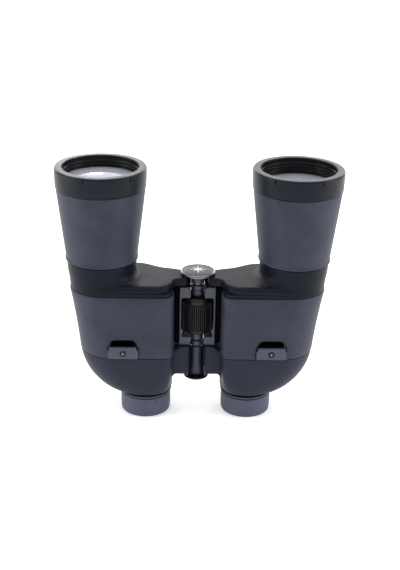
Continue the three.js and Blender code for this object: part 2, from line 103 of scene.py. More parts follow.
def activate(piece):
    deselect()
    piece.select_set(True)
    bpy.context.view_layer.objects.active = piece


def rename(name):
    piece = bpy.context.object
    piece.name = name
    piece.data.name = name
    return piece


def settle(piece):
    """Puts the piece's place, turn and size into its mesh."""
    activate(piece)
    bpy.ops.object.transform_apply(location=True, rotation=True, scale=True)
    return piece


def select_where(piece, test):
    """In edit mode, selects the vertices whose place in millimetres passes the test."""
    mesh = bmesh.from_edit_mesh(piece.data)
    for element in (*mesh.faces, *mesh.edges, *mesh.verts):
        element.select = False
    for vertex in mesh.verts:
        vertex.select = test(vertex.co / MM)
    mesh.select_flush(True)
    bmesh.update_edit_mesh(piece.data)


def close_up(piece, angle=35):
    """Merges doubles, turns all faces outwards and shades the piece smooth up to an angle."""
    activate(piece)
    bpy.ops.object.mode_set(mode="EDIT")
    bpy.ops.mesh.select_all(action="SELECT")
    bpy.ops.mesh.remove_doubles(threshold=1e-6)
    bpy.ops.mesh.normals_make_consistent(inside=False)
    bpy.ops.object.mode_set(mode="OBJECT")
    bpy.ops.object.shade_smooth_by_angle(angle=math.radians(angle))
    return piece


def apply_modifier(piece, kind, name="finish", **settings):
    activate(piece)
    modifier = piece.modifiers.new(name, kind)
    for key, value in settings.items():
        setattr(modifier, key, value)
    bpy.ops.object.modifier_apply(modifier=modifier.name)
    return piece


def join(piece, other, operation="UNION"):
    """Joins or cuts two closed pieces with the exact boolean, and removes the second one."""
    apply_modifier(piece, "BOOLEAN", object=other, operation=operation, solver="EXACT")
    bpy.data.objects.remove(other, do_unlink=True)
    return piece


# %% [markdown]
# ## Round pieces
# Most of a telescope is turned on a lathe. Here one circle is extruded from point to point of a profile and
# resized each time. Corners of the profile are rounded first, because a small radius on every edge is what
# catches the light.

# %% Helpers for turned pieces
def rounded(corners, radius, steps=4):
    """Rounds each corner of a closed profile; returns it closed, first point repeated at the end."""
    radii = radius if isinstance(radius, (list, tuple)) else [radius] * len(corners)
    points = []
    for i, corner in enumerate(corners):
        here = Vector(corner)
        before = Vector(corners[i - 1]) - here
        after = Vector(corners[(i + 1) % len(corners)]) - here
        reach = min(radii[i], before.length * 0.48, after.length * 0.48)
        if reach <= 0:
            points.append(tuple(here))
            continue
        start = here + before.normalized() * reach
        end = here + after.normalized() * reach
        for k in range(steps + 1):
            t = k / steps
            points.append(tuple(start * (1 - t) ** 2 + here * 2 * t * (1 - t) + end * t ** 2))
    return [*points, points[0]]


def turned(name, profile, x=0.0, sides=96):
    """Turns a profile of (radius, height); it closes on itself or starts and ends on the axis."""
    deselect()
    on_axis = profile[0][0] == 0
    path = profile[1:] if on_axis else profile
    radius, height = path[0]
    place = (x * MM, 0, height * MM)
    bpy.ops.mesh.primitive_circle_add(vertices=sides, radius=radius * MM, location=place)
    piece = settle(rename(name))
    bpy.ops.object.mode_set(mode="EDIT")
    bpy.ops.mesh.select_all(action="SELECT")
    if on_axis:
        drop = (profile[0][1] - height) * MM
        bpy.ops.mesh.extrude_edges_move(TRANSFORM_OT_translate={"value": (0, 0, drop)})
        bpy.ops.mesh.merge(type="CENTER")
        select_where(piece, lambda p: abs(p.x - x) + abs(p.y) > radius * 0.6)
    for (r0, z0), (r1, z1) in zip(path, path[1:]):
        bpy.ops.mesh.extrude_edges_move(TRANSFORM_OT_translate={"value": (0, 0, (z1 - z0) * MM)})
        if r1 == 0:
            bpy.ops.mesh.merge(type="CENTER")
        elif r1 != r0:
            scale = r1 / r0
            centre = (x * MM, 0, z1 * MM)
            bpy.ops.transform.resize(value=(scale, scale, 1), center_override=centre)
    return close_up(piece)


# %% [markdown]
# ## Pieces that change their outline with height
# The prism body isn't round. A stack of rings is extruded from one circle, and then each point is moved to
# its place on the outline at that height. A plate is simpler: one outline, extruded once.

# %% Helpers for stacked rings and for plates
def spot_number(vertex, count):
    """Which point of a circle primitive a vertex is; the first stands on +Y."""
    return round((math.atan2(vertex.co.y, vertex.co.x) / (2 * math.pi) - 0.25) * count) % count


def stack(name, rings, angle=35):
    """Skins rings of equal length, in millimetres; the last one may repeat the first."""
    count = len(rings[0])
    deselect()
    bpy.ops.mesh.primitive_circle_add(vertices=count, radius=1)
    piece = rename(name)
    bpy.ops.object.mode_set(mode="EDIT")
    bpy.ops.mesh.select_all(action="SELECT")
    for _ in rings[1:]:
        bpy.ops.mesh.extrude_edges_move(TRANSFORM_OT_translate={"value": (0, 0, 1)})
    bpy.ops.object.mode_set(mode="OBJECT")
    for vertex in piece.data.vertices:
        spot = rings[round(vertex.co.z)][spot_number(vertex, count)]
        vertex.co = [v * MM for v in spot]
    return close_up(piece, angle)


def plate(name, points, low, high, axis="Z", bevel=0.0, segments=3):
    """Extrudes an outline along Z (points are X, Y) or along Y (points are X, Z)."""
    deselect()
    bpy.ops.mesh.primitive_circle_add(vertices=len(points), radius=1, fill_type="NGON")
    piece = rename(name)
    for vertex in piece.data.vertices:
        a, b = points[spot_number(vertex, len(points))]
        vertex.co = Vector((a, b, low) if axis == "Z" else (a, low, b)) * MM
    bpy.ops.object.mode_set(mode="EDIT")
    bpy.ops.mesh.select_all(action="SELECT")
    step = (0, 0, (high - low) * MM) if axis == "Z" else (0, (high - low) * MM, 0)
    bpy.ops.mesh.extrude_region_move(TRANSFORM_OT_translate={"value": step})
    close_up(piece)
    if bevel:
        apply_modifier(piece, "BEVEL", width=bevel * MM, segments=segments, limit_method="ANGLE",
                       angle_limit=math.radians(40), harden_normals=False)
        close_up(piece)
    return piece


def block(name, low, high, bevel=0.3):
    """A box between two corners, with its edges broken."""
    deselect()
    size = [(b - a) * MM for a, b in zip(low, high)]
    centre = [(a + b) / 2 * MM for a, b in zip(low, high)]
    bpy.ops.mesh.primitive_cube_add(size=1, location=centre, scale=size)
    piece = settle(rename(name))
    if bevel:
        apply_modifier(piece, "BEVEL", width=bevel * MM, segments=3, limit_method="ANGLE")
    return close_up(piece)


def arc(cx, cy, r, start, end, count):
    """Points on an arc, angles in degrees."""
    angles = (math.radians(start + (end - start) * i / (count - 1)) for i in range(count))
    return [(cx + r * math.cos(t), cy + r * math.sin(t)) for t in angles]


def mirror_to_left(piece, name):
    """A mirrored copy for the left half, with its own mesh and its faces turned out again."""
    copy = piece.copy()
    copy.data = piece.data.copy()
    copy.name = copy.data.name = name
    bpy.context.collection.objects.link(copy)
    copy.data.transform(Matrix.Scale(-1, 4, Vector((1, 0, 0))))
    copy.data.flip_normals()
    return copy


print("helpers ready")


# %% [markdown]
# ## The plan outline of the prism body
# Seen from above the body is a half circle at the outer end, flat in front and behind, with a wall that
# faces the hinge and a slanted back wall that leaves room to fold. Above, the front cover adds a lug that
# reaches in over the hinge in one S-curve. Both outlines have the same number of points, so one can turn
# into the other.

# %% Outline helpers
BACK = math.radians(57)
LOBE = 49
INNER = 130
BASE_X = 57.4


def smooth(t):
    t = min(max(t, 0.0), 1.0)
    return t * t * (3 - 2 * t)


def resampled(points, count):
    """Points spaced evenly along an open path, its two ends left out."""
    lengths = [0.0]
    for a, b in zip(points, points[1:]):
        lengths.append(lengths[-1] + (Vector(b) - Vector(a)).length)
    spots, k = [], 0
    for i in range(1, count + 1):
        want = lengths[-1] * i / (count + 1)
        while lengths[k + 1] < want:
            k += 1
        share = (want - lengths[k]) / (lengths[k + 1] - lengths[k])
        spots.append(tuple(Vector(points[k]).lerp(Vector(points[k + 1]), share)))
    return spots


def outline(z, inset=0.0, lug=False):
    """Counter-clockwise from the front of the outer end, in millimetres."""
    rise = z - SEAM_LOW
    centre = BASE_X + 0.095 * rise + 0.00105 * rise ** 2
    r, wall = HALF_DEPTH - inset, WALL_X + inset
    bend = (r * math.tan(BACK) + inset / math.cos(BACK), r, 5)
    heel = (wall, wall / math.tan(BACK) - inset / math.sin(BACK), 3)
    if lug:
        corners = [bend, (12.8, 8, 4), (7.2, 8, 1.8), (7.2, -8.8, 1.8), (16.5, -10.4, 4), (20.5, -r, 10)]
    else:
        corners = [bend, heel, (wall, -r, 8)]
    path = [(centre, r)]
    for i, (x, y, reach) in enumerate(corners):
        here = Vector((x, y))
        before = Vector(corners[i - 1][:2] if i else path[0])
        after = Vector(corners[i + 1][:2] if i + 1 < len(corners) else (centre, -r))
        start = here + (before - here).normalized() * reach
        end = here + (after - here).normalized() * reach
        for k in range(9):
            t = k / 8
            path.append(tuple(start * (1 - t) ** 2 + here * 2 * t * (1 - t) + end * t ** 2))
    path.append((centre, -r))
    return arc(centre, 0, r, -90, 90, LOBE) + resampled(path, INNER)


def offset(points, insets):
    """Moves each point of a closed outline inwards by its own inset."""
    moved = []
    for i, (x, y) in enumerate(points):
        along = (Vector(points[(i + 1) % len(points)]) - Vector(points[i - 1])).normalized()
        moved.append((x - along.y * insets[i], y + along.x * insets[i]))
    return moved


def at(points, z):
    return [(x, y, z) for x, y in points]


def facing(points, x, r, z):
    """The point of a circle round X that lies in the direction of each outline point."""
    return [(x + r * (px - x) / math.hypot(px - x, py), r * py / math.hypot(px - x, py), z)
            for px, py in points]


print(len(outline(60)), len(outline(SEAM_HIGH, 0.5, True)), "points in each outline")

# %% [markdown]
# ## Finishes
# Real rubber and paint are never quite even. Each finish has a fine grain as a bump, and a slow variation of
# its roughness and colour. Places come from Object coordinates, which here are real metres, so the grain
# has the same size on every piece.

# %% Helper for the finishes
MATERIALS = {}


def linear(colour):
    """Screen values 0-255 as scene-linear ones."""
    parts = [c / 255 for c in colour]
    return [c / 12.92 if c <= 0.04045 else ((c + 0.055) / 1.055) ** 2.4 for c in parts]


def finish(slot, colour, roughness, metallic=0.0, grain=0.0, size=0.4, uneven=0.05, cloud=0.07, **sockets):
    """A finish for one slot: grain is the bump depth and size its width, both in millimetres. The
    roughness drifts slowly over the piece by uneven, and the colour by the share cloud."""
    material = bpy.data.materials.new(slot)
    material.use_nodes = True
    nodes, links = material.node_tree.nodes, material.node_tree.links
    shader = nodes["Principled BSDF"]
    shader.inputs["Metallic"].default_value = metallic
    for socket, value in sockets.items():
        shader.inputs[socket.replace("_", " ")].default_value = value
    place = nodes.new("ShaderNodeTexCoord").outputs["Object"]
    slow = nodes.new("ShaderNodeTexNoise")
    slow.inputs["Scale"].default_value = 70
    slow.inputs["Detail"].default_value = 3
    links.new(place, slow.inputs["Vector"])
    spread = nodes.new("ShaderNodeMapRange")
    spread.inputs["To Min"].default_value = roughness - uneven
    spread.inputs["To Max"].default_value = roughness + uneven
    links.new(slow.outputs["Fac"], spread.inputs["Value"])
    links.new(spread.outputs["Result"], shader.inputs["Roughness"])
    tint = nodes.new("ShaderNodeMix")
    tint.data_type = "RGBA"
    base = linear(colour)
    tint.inputs["A"].default_value = [*[c * (1 - cloud) for c in base], 1]
    tint.inputs["B"].default_value = [*[c * (1 + cloud) for c in base], 1]
    links.new(slow.outputs["Fac"], tint.inputs["Factor"])
    links.new(tint.outputs["Result"], shader.inputs["Base Color"])
    if grain:
        fine = nodes.new("ShaderNodeTexNoise")
        fine.inputs["Scale"].default_value = 1000 / size
        fine.inputs["Detail"].default_value = 2
        links.new(place, fine.inputs["Vector"])
        bump = nodes.new("ShaderNodeBump")
        bump.inputs["Strength"].default_value = 0.6
        bump.inputs["Distance"].default_value = grain * MM
        links.new(fine.outputs["Fac"], bump.inputs["Height"])
        links.new(bump.outputs["Normal"], shader.inputs["Normal"])
    MATERIALS[slot] = material
    return material


# %% [markdown]
# The armour is soft-touch rubber: matt and a little cloudy, with a broad sheen where it turns away. The
# covers are smoother. Metal parts are painted in a blue-grey, and what lies in the shade behind the wheel
# and under the strap bars gets a deeper black, as painted shade.

# %% Rubber, plastic and painted parts
finish("armour_rubber", (43, 47, 60), 0.5, grain=0.03, size=0.35, uneven=0.1, cloud=0.45, IOR=1.3)
finish("dark_cover", (16, 19, 28), 0.42, grain=0.012, size=0.35, IOR=1.2)
finish("rear_rubber", (30, 34, 47), 0.46, grain=0.02, size=0.4, uneven=0.08, cloud=0.3, IOR=1.27)
finish("black_ring", (21, 24, 33), 0.36, grain=0.005, size=0.5, IOR=1.22)
# The rim's face: a lighter copy of the black ring, a painted highlight.
finish("rim_top_painted_light", (44, 44, 45), 0.4, grain=0.005, size=0.5, IOR=1.45)
finish("eyecup_rubber", (66, 70, 87), 0.55, grain=0.03, size=0.4, IOR=1.38)
finish("wheel_rubber", (12, 13, 16), 0.3, grain=0.01, size=0.4, IOR=1.35)
finish("grey_metal", (56, 60, 75), 0.38, metallic=0.3, grain=0.01, size=0.3)
finish("anodised_tube", (39, 44, 59), 0.38, metallic=0.3)
finish("blackened_metal", (6, 6, 8), 0.3, grain=0.004, size=0.3, IOR=1.35)
# Painted shade: a deeper black for the neck, the pocket, the flange and the wall that lie in shadow.
finish("painted_shade_black", (3, 3, 4), 0.6, IOR=1.12)
print(len(MATERIALS), "finishes so far")

# %% [markdown]
# Bare metals reflect the studio, so their roughness sets how soft that reflection is. The hinge cap has
# three tones: its edge and its dome are a lighter and a darker copy of one metal, a painted highlight and
# painted shade, and its rosette is the third. The coating of the big front lenses reflects pale from a low
# angle; their glass is made a little milky as a painted reflection of it. The small lenses and the prisms
# are clear.

# %% Metal and glass
# The cap's disc keeps this metal and its dome gets a darker copy, so the edge is a painted highlight.
finish("cap_metal", (112, 112, 118), 0.34, metallic=1.0, grain=0.004, size=0.25)
finish("cap_rosette", (200, 200, 205), 0.5, metallic=0.5)
finish("cap_dome", (68, 69, 76), 0.36, metallic=1.0, grain=0.006, size=0.2)
finish("steel", (126, 128, 134), 0.32, metallic=1.0)
finish("brass", (176, 146, 84), 0.32, metallic=1.0)
finish("coated_glass", (236, 240, 246), 0.03, uneven=0.01, Transmission_Weight=1.0, IOR=1.52)
# Milky front glass: a painted reflection that makes the big lenses pale.
finish("front_painted_reflection_glass", (208, 212, 226), 0.04, uneven=0.01, Transmission_Weight=0.62, IOR=1.34)
finish("prism_glass", (226, 238, 236), 0.03, uneven=0.01, Transmission_Weight=1.0, IOR=1.57)
print(len(MATERIALS), "finishes in all")


# %% [markdown]
# ## Handing a piece over
# Each finished piece gets its finish, hides the fixed node it stands for and rides on the body of that
# node. A piece for both halves is modelled on the right; its mirror image goes to the left.

# %% Helpers for placing pieces
HALF = {"right": "right_half", "left": "left_half"}


def place(piece, slot, body, *nodes, look=None):
    piece.data.materials.clear()
    piece.data.materials.append(MATERIALS[look or slot])
    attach(piece, body)
    if nodes:
        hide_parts(*nodes)
    return piece


def both_halves(piece, slot, part, bodies=HALF, look=None):
    """Names and places the right piece and its mirror image on the left."""
    name = piece.name
    piece.name = piece.data.name = "right_" + name
    twin = mirror_to_left(piece, "left_" + name)
    place(piece, slot, bodies["right"], "right_" + part, look=look)
    place(twin, slot, bodies["left"], "left_" + part, look=look)
    print(name, len(piece.data.polygons), "faces on each side")
    return piece, twin


def merged(name, *pieces):
    """Several pieces of one finish as one object."""
    deselect()
    for piece in pieces:
        piece.select_set(True)
    bpy.context.view_layer.objects.active = pieces[0]
    bpy.ops.object.join()
    return rename(name)


# %% [markdown]
# ## Objective rings
# The wide ring at the top holds the lens and is what the eye meets first: a flat rim and a black step
# inside. The rim's face is a lighter copy of the black ring, a painted highlight. It would be turned from
# tube. Six slits in its outer edge let a pin wrench grip it. They stand at different angles on the two
# sides, because a ring stops wherever its thread is tight.

# %% Objective rings with their slits
RING_PROFILE = rounded(
    [(30.7, RIM_LOW), (31, 176), (RIM_R, 180.5), (30.3, 181.3), (26.1, 181.3), (26.1, 174.2),
     (28.8, 174.2), (28.8, RIM_LOW)],
    [0.5, 3, 0.6, 0.5, 0.3, 0.1, 0.2, 0.2])
FACE_PROFILE = rounded(
    [(30.4, 181.1), (30.4, RIM_HIGH), (26.1, RIM_HIGH), (26.1, 181.1)], [0, 0.35, 0.35, 0])
THREAD_PROFILE = rounded(
    [(26, 180.9), (25.7, 180.9), (25.7, 178.2), (25.1, 178), (25.1, 176.9), (25.5, 176.7), (25.5, 175.9),
     (25, 175.7), (25, 174.3), (26, 174.3)], 0.15)
SLITS = 6
for side, sign, first in (("right", 1, 24.4), ("left", -1, -17.8)):
    rim = turned(side + "_objective_ring", RING_PROFILE, sign * OBJECTIVE_X, 144)
    for k in range(SLITS):
        slit = block("slit", (-0.42, -31.6, RIM_HIGH - 4), (0.42, -30.2, RIM_HIGH + 1), 0)
        turn = Matrix.Rotation(math.radians(first + 360 / SLITS * k), 4, "Z")
        slit.data.transform(Matrix.Translation((sign * OBJECTIVE_X * MM, 0, 0)) @ turn)
        join(rim, slit, "DIFFERENCE")
    close_up(rim)
    place(rim, "black_ring", HALF[side], side + "_objective_ring")
    thread = turned(side + "_objective_thread", THREAD_PROFILE, sign * OBJECTIVE_X, 144)
    place(thread, "blackened_metal", HALF[side], side + "_objective_ring")
    # The face on top is a lighter copy of the black ring, a painted highlight.
    face = turned(side + "_objective_rim_face", FACE_PROFILE, sign * OBJECTIVE_X, 144)
    place(face, "black_ring", HALF[side], side + "_objective_ring", look="rim_top_painted_light")
print("objective rings", len(rim.data.polygons), "faces each")

# %% [markdown]
# ## The front lens and what holds it
# A doublet sits below the rim behind a retainer ring. Its front lens is modelled here; the one behind it
# comes over from the fixed model. The front surface is a shallow dome, and its reflection of the lights is
# the brightest thing inside the ring.

# %% Front lens and its retainer
FRONT_DOME, BACK_DOME = 3, 2.8


def lens_profile(r, low, low_sag, high, high_sag):
    under = [(r * k / 12, low + low_sag * (1 - (k / 12) ** 2)) for k in range(13)]
    over = [(r * (12 - k) / 12, high + high_sag * (1 - ((12 - k) / 12) ** 2)) for k in range(13)]
    return under + over


for side, sign in (("right", 1), ("left", -1)):
    low, high = (corner[2] for corner in node_box(side + "_objective_crown"))
    crown = turned(side + "_objective_crown", lens_profile(
        26.6, low + BACK_DOME, -BACK_DOME, high - FRONT_DOME, FRONT_DOME), sign * OBJECTIVE_X, 128)
    # The front lens gets the milky glass, a painted reflection.
    place(crown, "coated_glass", HALF[side], side + "_objective_crown", look="front_painted_reflection_glass")
    low, high = (corner[2] for corner in node_box(side + "_objective_retainer"))
    hold = turned(side + "_objective_retainer", rounded(
        [(26.8, low), (26.8, high), (25, high), (25, low)], 0.2), sign * OBJECTIVE_X, 128)
    place(hold, "blackened_metal", HALF[side], side + "_objective_retainer")
print("front lens", len(crown.data.polygons), "faces")

# %% [markdown]
# ## Barrels
# A long cone of rubber over a metal tube, moulded in one piece. It ends in a small proud lip over the cover,
# which throws the dark line seen between them.

# %% Barrel armour
barrel = turned("barrel_armour", rounded(
    [(BARREL_R, SLEEVE_HIGH), (28.8, SLEEVE_HIGH), (23, SLEEVE_LOW), (25, SLEEVE_LOW), (25.05, 118.1),
     (24.6, 118.9)],
    [0.7, 0.3, 0.3, 0.4, 0.4, 0.5]), OBJECTIVE_X, 144)
both_halves(barrel, "armour_rubber", "barrel_armour")

# %% [markdown]
# ## Front cover
# This casting closes the body towards the objectives. Its skirt follows the body, its top is a flat shoulder
# that dishes up into a fillet round the barrel, and its lug reaches the hinge. It's built as a stack of
# rings, each with a height and an inset of its own. Towards the outer end the barrel is as wide as the
# body, so there the rings run straight from the skirt to the neck.

# %% Rings of the front cover
SHOULDER = 103.7
LUG_RISE = 0.9
FILLET = 6
PLAIN_RINGS = 3
SKIRT_RINGS = 5


def neck(z):
    return 24.2 - 0.09 * (NECK_HIGH - z)


def top_height(x):
    """The shoulder rises a little where it becomes the lug."""
    return SHOULDER + LUG_RISE * (1 - smooth((x - 13) / 14))


plain = outline(SEAM_HIGH, 0.5)
wide = outline(SEAM_HIGH, 0.5, lug=True)
nearness = [1 - smooth((x - 15) / 14) for x, _ in wide]
reach = [math.hypot(x - OBJECTIVE_X, y) for x, y in wide]
free = [d - neck(SHOULDER) for d in reach]
shares = [smooth(f / 8) for f in free]
LOW_RINGS = [(plain, 0.35, 0, 0), (plain, 0, 0.35, 0), (plain, 0, 2.5, 0), (wide, 0.35, 2.5, 0),
             (wide, 0, 2.9, 0), (wide, 0, 1, 2.6), (wide, 0.06, 1, 1.7), (wide, 0.25, 1, 0.95),
             (wide, 0.5, 1, 0.42), (wide, 0.75, 1, 0.12), (wide, 1, 1, 0)]
cover_rings = []
for k, (base, inset, rise, drop) in enumerate(LOW_RINGS):
    at_top = drop or k == len(LOW_RINGS) - 1
    depth = [inset * (3 - 1.6 * n) if at_top else inset for n in nearness]
    ring = offset(base, depth)
    cover_rings.append([
        (x, y, top_height(x) - drop * (1 - 0.4 * n)) if k >= SKIRT_RINGS else (x, y, COVER_LOW + rise)
        for (x, y), n in zip(ring, nearness)])
top = [(x, y) for x, y, _ in cover_rings[-1]]
stand = [max(math.hypot(x - OBJECTIVE_X, y) - neck(SHOULDER), 0.0) for x, y in top]
fillet = [min(FILLET, s) for s in stand]


def shoulder_ring(shares_out, lift):
    """A ring round the neck at its own distance from it."""
    ring = []
    for (x, y), away in zip(top, shares_out):
        d = math.hypot(x - OBJECTIVE_X, y)
        r = neck(SHOULDER + lift) + away
        spot = OBJECTIVE_X + (x - OBJECTIVE_X) * r / d
        ring.append((spot, y * r / d, top_height(spot) + lift))
    return ring


for share in (0.75, 0.5, 0.25):
    cover_rings.append(shoulder_ring([f + (s - f) * share for f, s in zip(fillet, stand)], 0))
for k in range(9):
    turn = math.radians(90 * k / 8)
    away = [f * (1 - math.sin(turn)) for f in fillet]
    cover_rings.append(shoulder_ring(away, FILLET * (1 - math.cos(turn))))

outer = []
last = len(cover_rings) - 1
for k, ring in enumerate(cover_rings):
    z = COVER_LOW + (SHOULDER + FILLET - COVER_LOW) * k / last
    fade = 1 - smooth(k / last)
    straight = facing(wide if k >= PLAIN_RINGS else plain, OBJECTIVE_X, 1, z)
    outer.append([tuple(Vector((
        OBJECTIVE_X + (sx - OBJECTIVE_X) * (neck(max(z, SHOULDER)) + f * fade),
        sy * (neck(max(z, SHOULDER)) + f * fade), sz)).lerp(Vector(spot), s))
        for (sx, sy, sz), spot, f, s in zip(straight, ring, free, shares)])
inner = offset(plain, [2.1] * len(plain))
outer += [facing(top, OBJECTIVE_X, neck(z) - cut, z) for z, cut in ((112, 0), (115.9, 0), (NECK_HIGH, 0.5))]
outer += [facing(top, OBJECTIVE_X, 21.5, NECK_HIGH), facing(top, OBJECTIVE_X, 21.5, 101.4),
          at(inner, 101), at(inner, COVER_LOW)]
cover = stack("front_cover", [*outer, outer[0]], 40)
both_halves(cover, "dark_cover", "front_cover")


# %% [markdown]
# ## Body armour
# A rubber skin wraps the prism housing from seam to seam. It's open towards the hinge, where the casting
# carries the knuckles, and has a window in front for the strap pocket. Its edges are rounded over, so
# each seam shows as a thin light line beside a dark one.

# %% Rings of the body armour, then its two openings
STRAP_X = sum(corner[0] for corner in node_box("right_strap_lug")) / 2


def sleeve(name, depth, thick, low, high, edge):
    """A skin of even thickness between two heights, with rounded outer edges."""
    levels = [(low, edge), (low + edge * 0.3, edge * 0.3), (low + edge, 0)]
    levels += [(low + (high - low) * k / 8, 0) for k in range(1, 8)]
    levels += [(high - edge, 0), (high - edge * 0.3, edge * 0.3), (high, edge)]
    rings = [at(outline(z, depth + cut), z) for z, cut in levels]
    rings += [at(outline(z, depth + thick), z) for z in (high, (low + high) / 2, low)]
    return stack(name, [*rings, rings[0]], 40)


skin = sleeve("body_armour", 0, 1.3, SKIN_LOW, SKIN_HIGH, 0.55)
join(skin, block("opening", (14, -4.4, 49), (21, 6.6, 98), 0), "DIFFERENCE")
window = plate("window", rounded(
    [(STRAP_X - 10.1, 49), (STRAP_X + 10.1, 49), (STRAP_X + 10.1, 60.2), (STRAP_X + 7.2, 64.2),
     (STRAP_X - 7.2, 64.2), (STRAP_X - 10.1, 60.2)], [0, 0, 2.5, 2, 2, 2.5])[:-1], -24.2, -22, axis="Y")
activate(window)
bpy.ops.object.mode_set(mode="EDIT")
select_where(window, lambda p: p.y < -24.1)
for step, scale in ((0.2, 1.015), (0.2, 1.03), (0.2, 1.05), (0.15, 1.07), (0.1, 1.08)):
    bpy.ops.mesh.extrude_region_move(TRANSFORM_OT_translate={"value": (0, -step * MM, 0)})
    bpy.ops.transform.resize(value=(scale, 1, scale), center_override=(STRAP_X * MM, -0.0245, 0.057))
close_up(window)
join(skin, window, "DIFFERENCE")
close_up(skin, 40)
both_halves(skin, "armour_rubber", "body_armour")

# %% [markdown]
# ## Prism housing
# The casting under the skin holds the prisms. Its only bare parts are a bracket towards the hinge, the dark
# neck behind it, the knuckles on the axle and the small pocket behind the strap lug. Each part that shows
# has its own piece; the casting itself is a plain shell with a hole for the pocket.

# %% Casting shell, pocket, bracket and neck
casting = sleeve("housing_shell", 1.6, 1.2, SKIN_LOW, SKIN_HIGH, 0.2)
join(casting, block("hole", (STRAP_X - 8.5, -26, 55.8), (STRAP_X + 8.5, -20, 65), 0), "DIFFERENCE")
both_halves(close_up(casting), "blackened_metal", "prism_housing")
# The inside of the pocket gets the deeper black of painted shade.
pocket = block("strap_pocket", (STRAP_X - 9, -23.2, 55.3), (STRAP_X + 9, -18.2, 65.4), 0.2)
join(pocket, block("room", (STRAP_X - 7.9, -24, 56.3), (STRAP_X + 7.9, -19.2, 64.4), 0.8), "DIFFERENCE")
both_halves(close_up(pocket), "blackened_metal", "prism_housing", look="painted_shade_black")
bracket = plate("bracket", rounded(
    [(12.6, 53.1), (12.6, 97.3), (6.9, 97.3), (4.9, 95.6), (4.9, 89.2), (11.3, 89.2), (11.3, 59.4),
     (4.9, 59.4), (4.9, 54.6), (6.6, 53.1)],
    [0.8, 0.8, 0.8, 0.8, 0.5, 1.6, 1.6, 0.5, 0.6, 0.6])[:-1], -8, 6, axis="Y", bevel=0.5)
both_halves(bracket, "grey_metal", "prism_housing")
# The neck gets the deeper black of painted shade.
stem = block("housing_neck", (12.3, -4, 53.1), (18.8, 6, 96), 0.3)
both_halves(stem, "blackened_metal", "prism_housing", look="painted_shade_black")

# %% [markdown]
# The knuckles of the two halves alternate along the axle, each a short ring on an arm that joins its
# bracket. They're turned, and the arms are small blocks.

# %% Knuckles
def knuckle(inner_r, outer_r, low, high):
    return turned("ring", rounded(
        [(outer_r, low), (outer_r, high), (inner_r, high), (inner_r, low)], 0.25), 0, 64)


def arm(side, x0, x1, y, z0, z1):
    low, high = sorted((side * x0, side * x1))
    return block("arm", (low, -y, z0), (high, y, z1), 0.25)


left = merged("left_knuckles", knuckle(3.2, 4.6, 98.3, 104.8), knuckle(2.65, 4.7, 55.5, 61),
              arm(-1, 3.9, 6.9, 2.5, 98.3, 102.7), arm(-1, 5, 6.9, 2.5, 96, 102.7),
              arm(-1, 4.1, 5.2, 2.4, 55.5, 59.4))
place(left, "grey_metal", "left_half", "left_prism_housing")
right = merged("right_knuckles", knuckle(1.75, 4.7, 93.5, 96.9), knuckle(2.65, 4.7, 50.7, 54.4),
               arm(1, 4.1, 5.2, 2.5, 93.5, 96.9), arm(1, 4.4, 5.9, 2.4, 50.7, 54.4))
place(right, "grey_metal", "right_half", "right_prism_housing")
print("knuckles", len(left.data.polygons), len(right.data.polygons), "faces")

# %% [markdown]
# Behind the wheel and the knuckles no daylight shows. Each casting turns in behind the wheel in a short
# curved flange, and has a low wall behind the upper knuckles; both are finished in a deeper black as painted
# shade. Both stop short of the middle, so that they pass each other when the halves fold.

# %% Dark flanges and walls
flange = plate("wheel_flange", [*arc(0, 0, 12.6, 22, 52, 13), *arc(0, 0, 11.4, 52, 22, 13)],
               58.5, 90, bevel=0.2)
both_halves(flange, "blackened_metal", "prism_housing", look="painted_shade_black")
wall = plate("knuckle_wall", [(7.3, 4.4), (7.3, 6), (4.55, 6), (4.55, 4.4)], 97, 104.8, bevel=0.15)
both_halves(wall, "blackened_metal", "prism_housing", look="painted_shade_black")
# A thin black plate over the tops of the bracket's arms: painted shade where they lie in shadow.
shadow_sheet = block("bracket_painted_shade_plate", (4.8, -7.4, 97.2), (11.5, 6, 97.55), 0.1)
both_halves(shadow_sheet, "blackened_metal", "prism_housing")

# %% [markdown]
# ## Rear covers
# Below the lower seam the outline draws in to the round eyepiece. The corners fade as a superellipse, so the
# cover stays full at first and then turns in quickly. A lug, rounded above and filleted below, carries
# the lower hinge, and a slot in it lets the focus arm through to the middle.

# %% Rings of the rear cover
CLOSE_R = 18.8


def fullness(z):
    t = min((SEAM_LOW - z) / 32, 1)
    return (1 - t ** 1.7) ** (1 / 1.7)


def rear_ring(z, inset, share):
    base = outline(SEAM_LOW, 0.4 + inset)
    end = facing(base, OCULAR_X, CLOSE_R - inset, z)
    return [(ex + (x - ex) * share, ey + (y - ey) * share, z) for (x, y), (ex, ey, _) in zip(base, end)]


DROPS = (1.2, 3, 5, 7.5, 10, 12.5, 15, 17.5, 20, 22.3, 24.4, 26.2, 27.7, 28.9, 29.8, 30.4)
levels = [(SEAM_LOW, 0.5), (SEAM_LOW - 0.15, 0.15), (SEAM_LOW - 0.5, 0)]
levels += [(SEAM_LOW - drop, 0) for drop in DROPS]
levels += [(REAR_LOW + 0.7, 0), (REAR_LOW + 0.2, 0.2), (REAR_LOW, 0.8)]
rear_rings = [rear_ring(z, cut, fullness(z)) for z, cut in levels]
full = outline(SEAM_LOW, 0.4)
rear_rings += [facing(full, OCULAR_X, 14.4, REAR_LOW), facing(full, OCULAR_X, 14.4, 21.5)]
rear_rings += [rear_ring(z, 2.2, fullness(z - 2.6)) for z in (22.5, 30, 39)]
rear_rings += [rear_ring(SEAM_LOW, 2.4, 1), rear_rings[0]]
cover = stack("rear_cover", rear_rings, 40)
print("rear cover", len(cover.data.polygons), "faces")

# %% [markdown]
# The lug stands between the body and the centre tube. The two focus arms come through at different heights,
# so each side gets a slot of its own, and the left cover has a small raised index for the diopter marks.

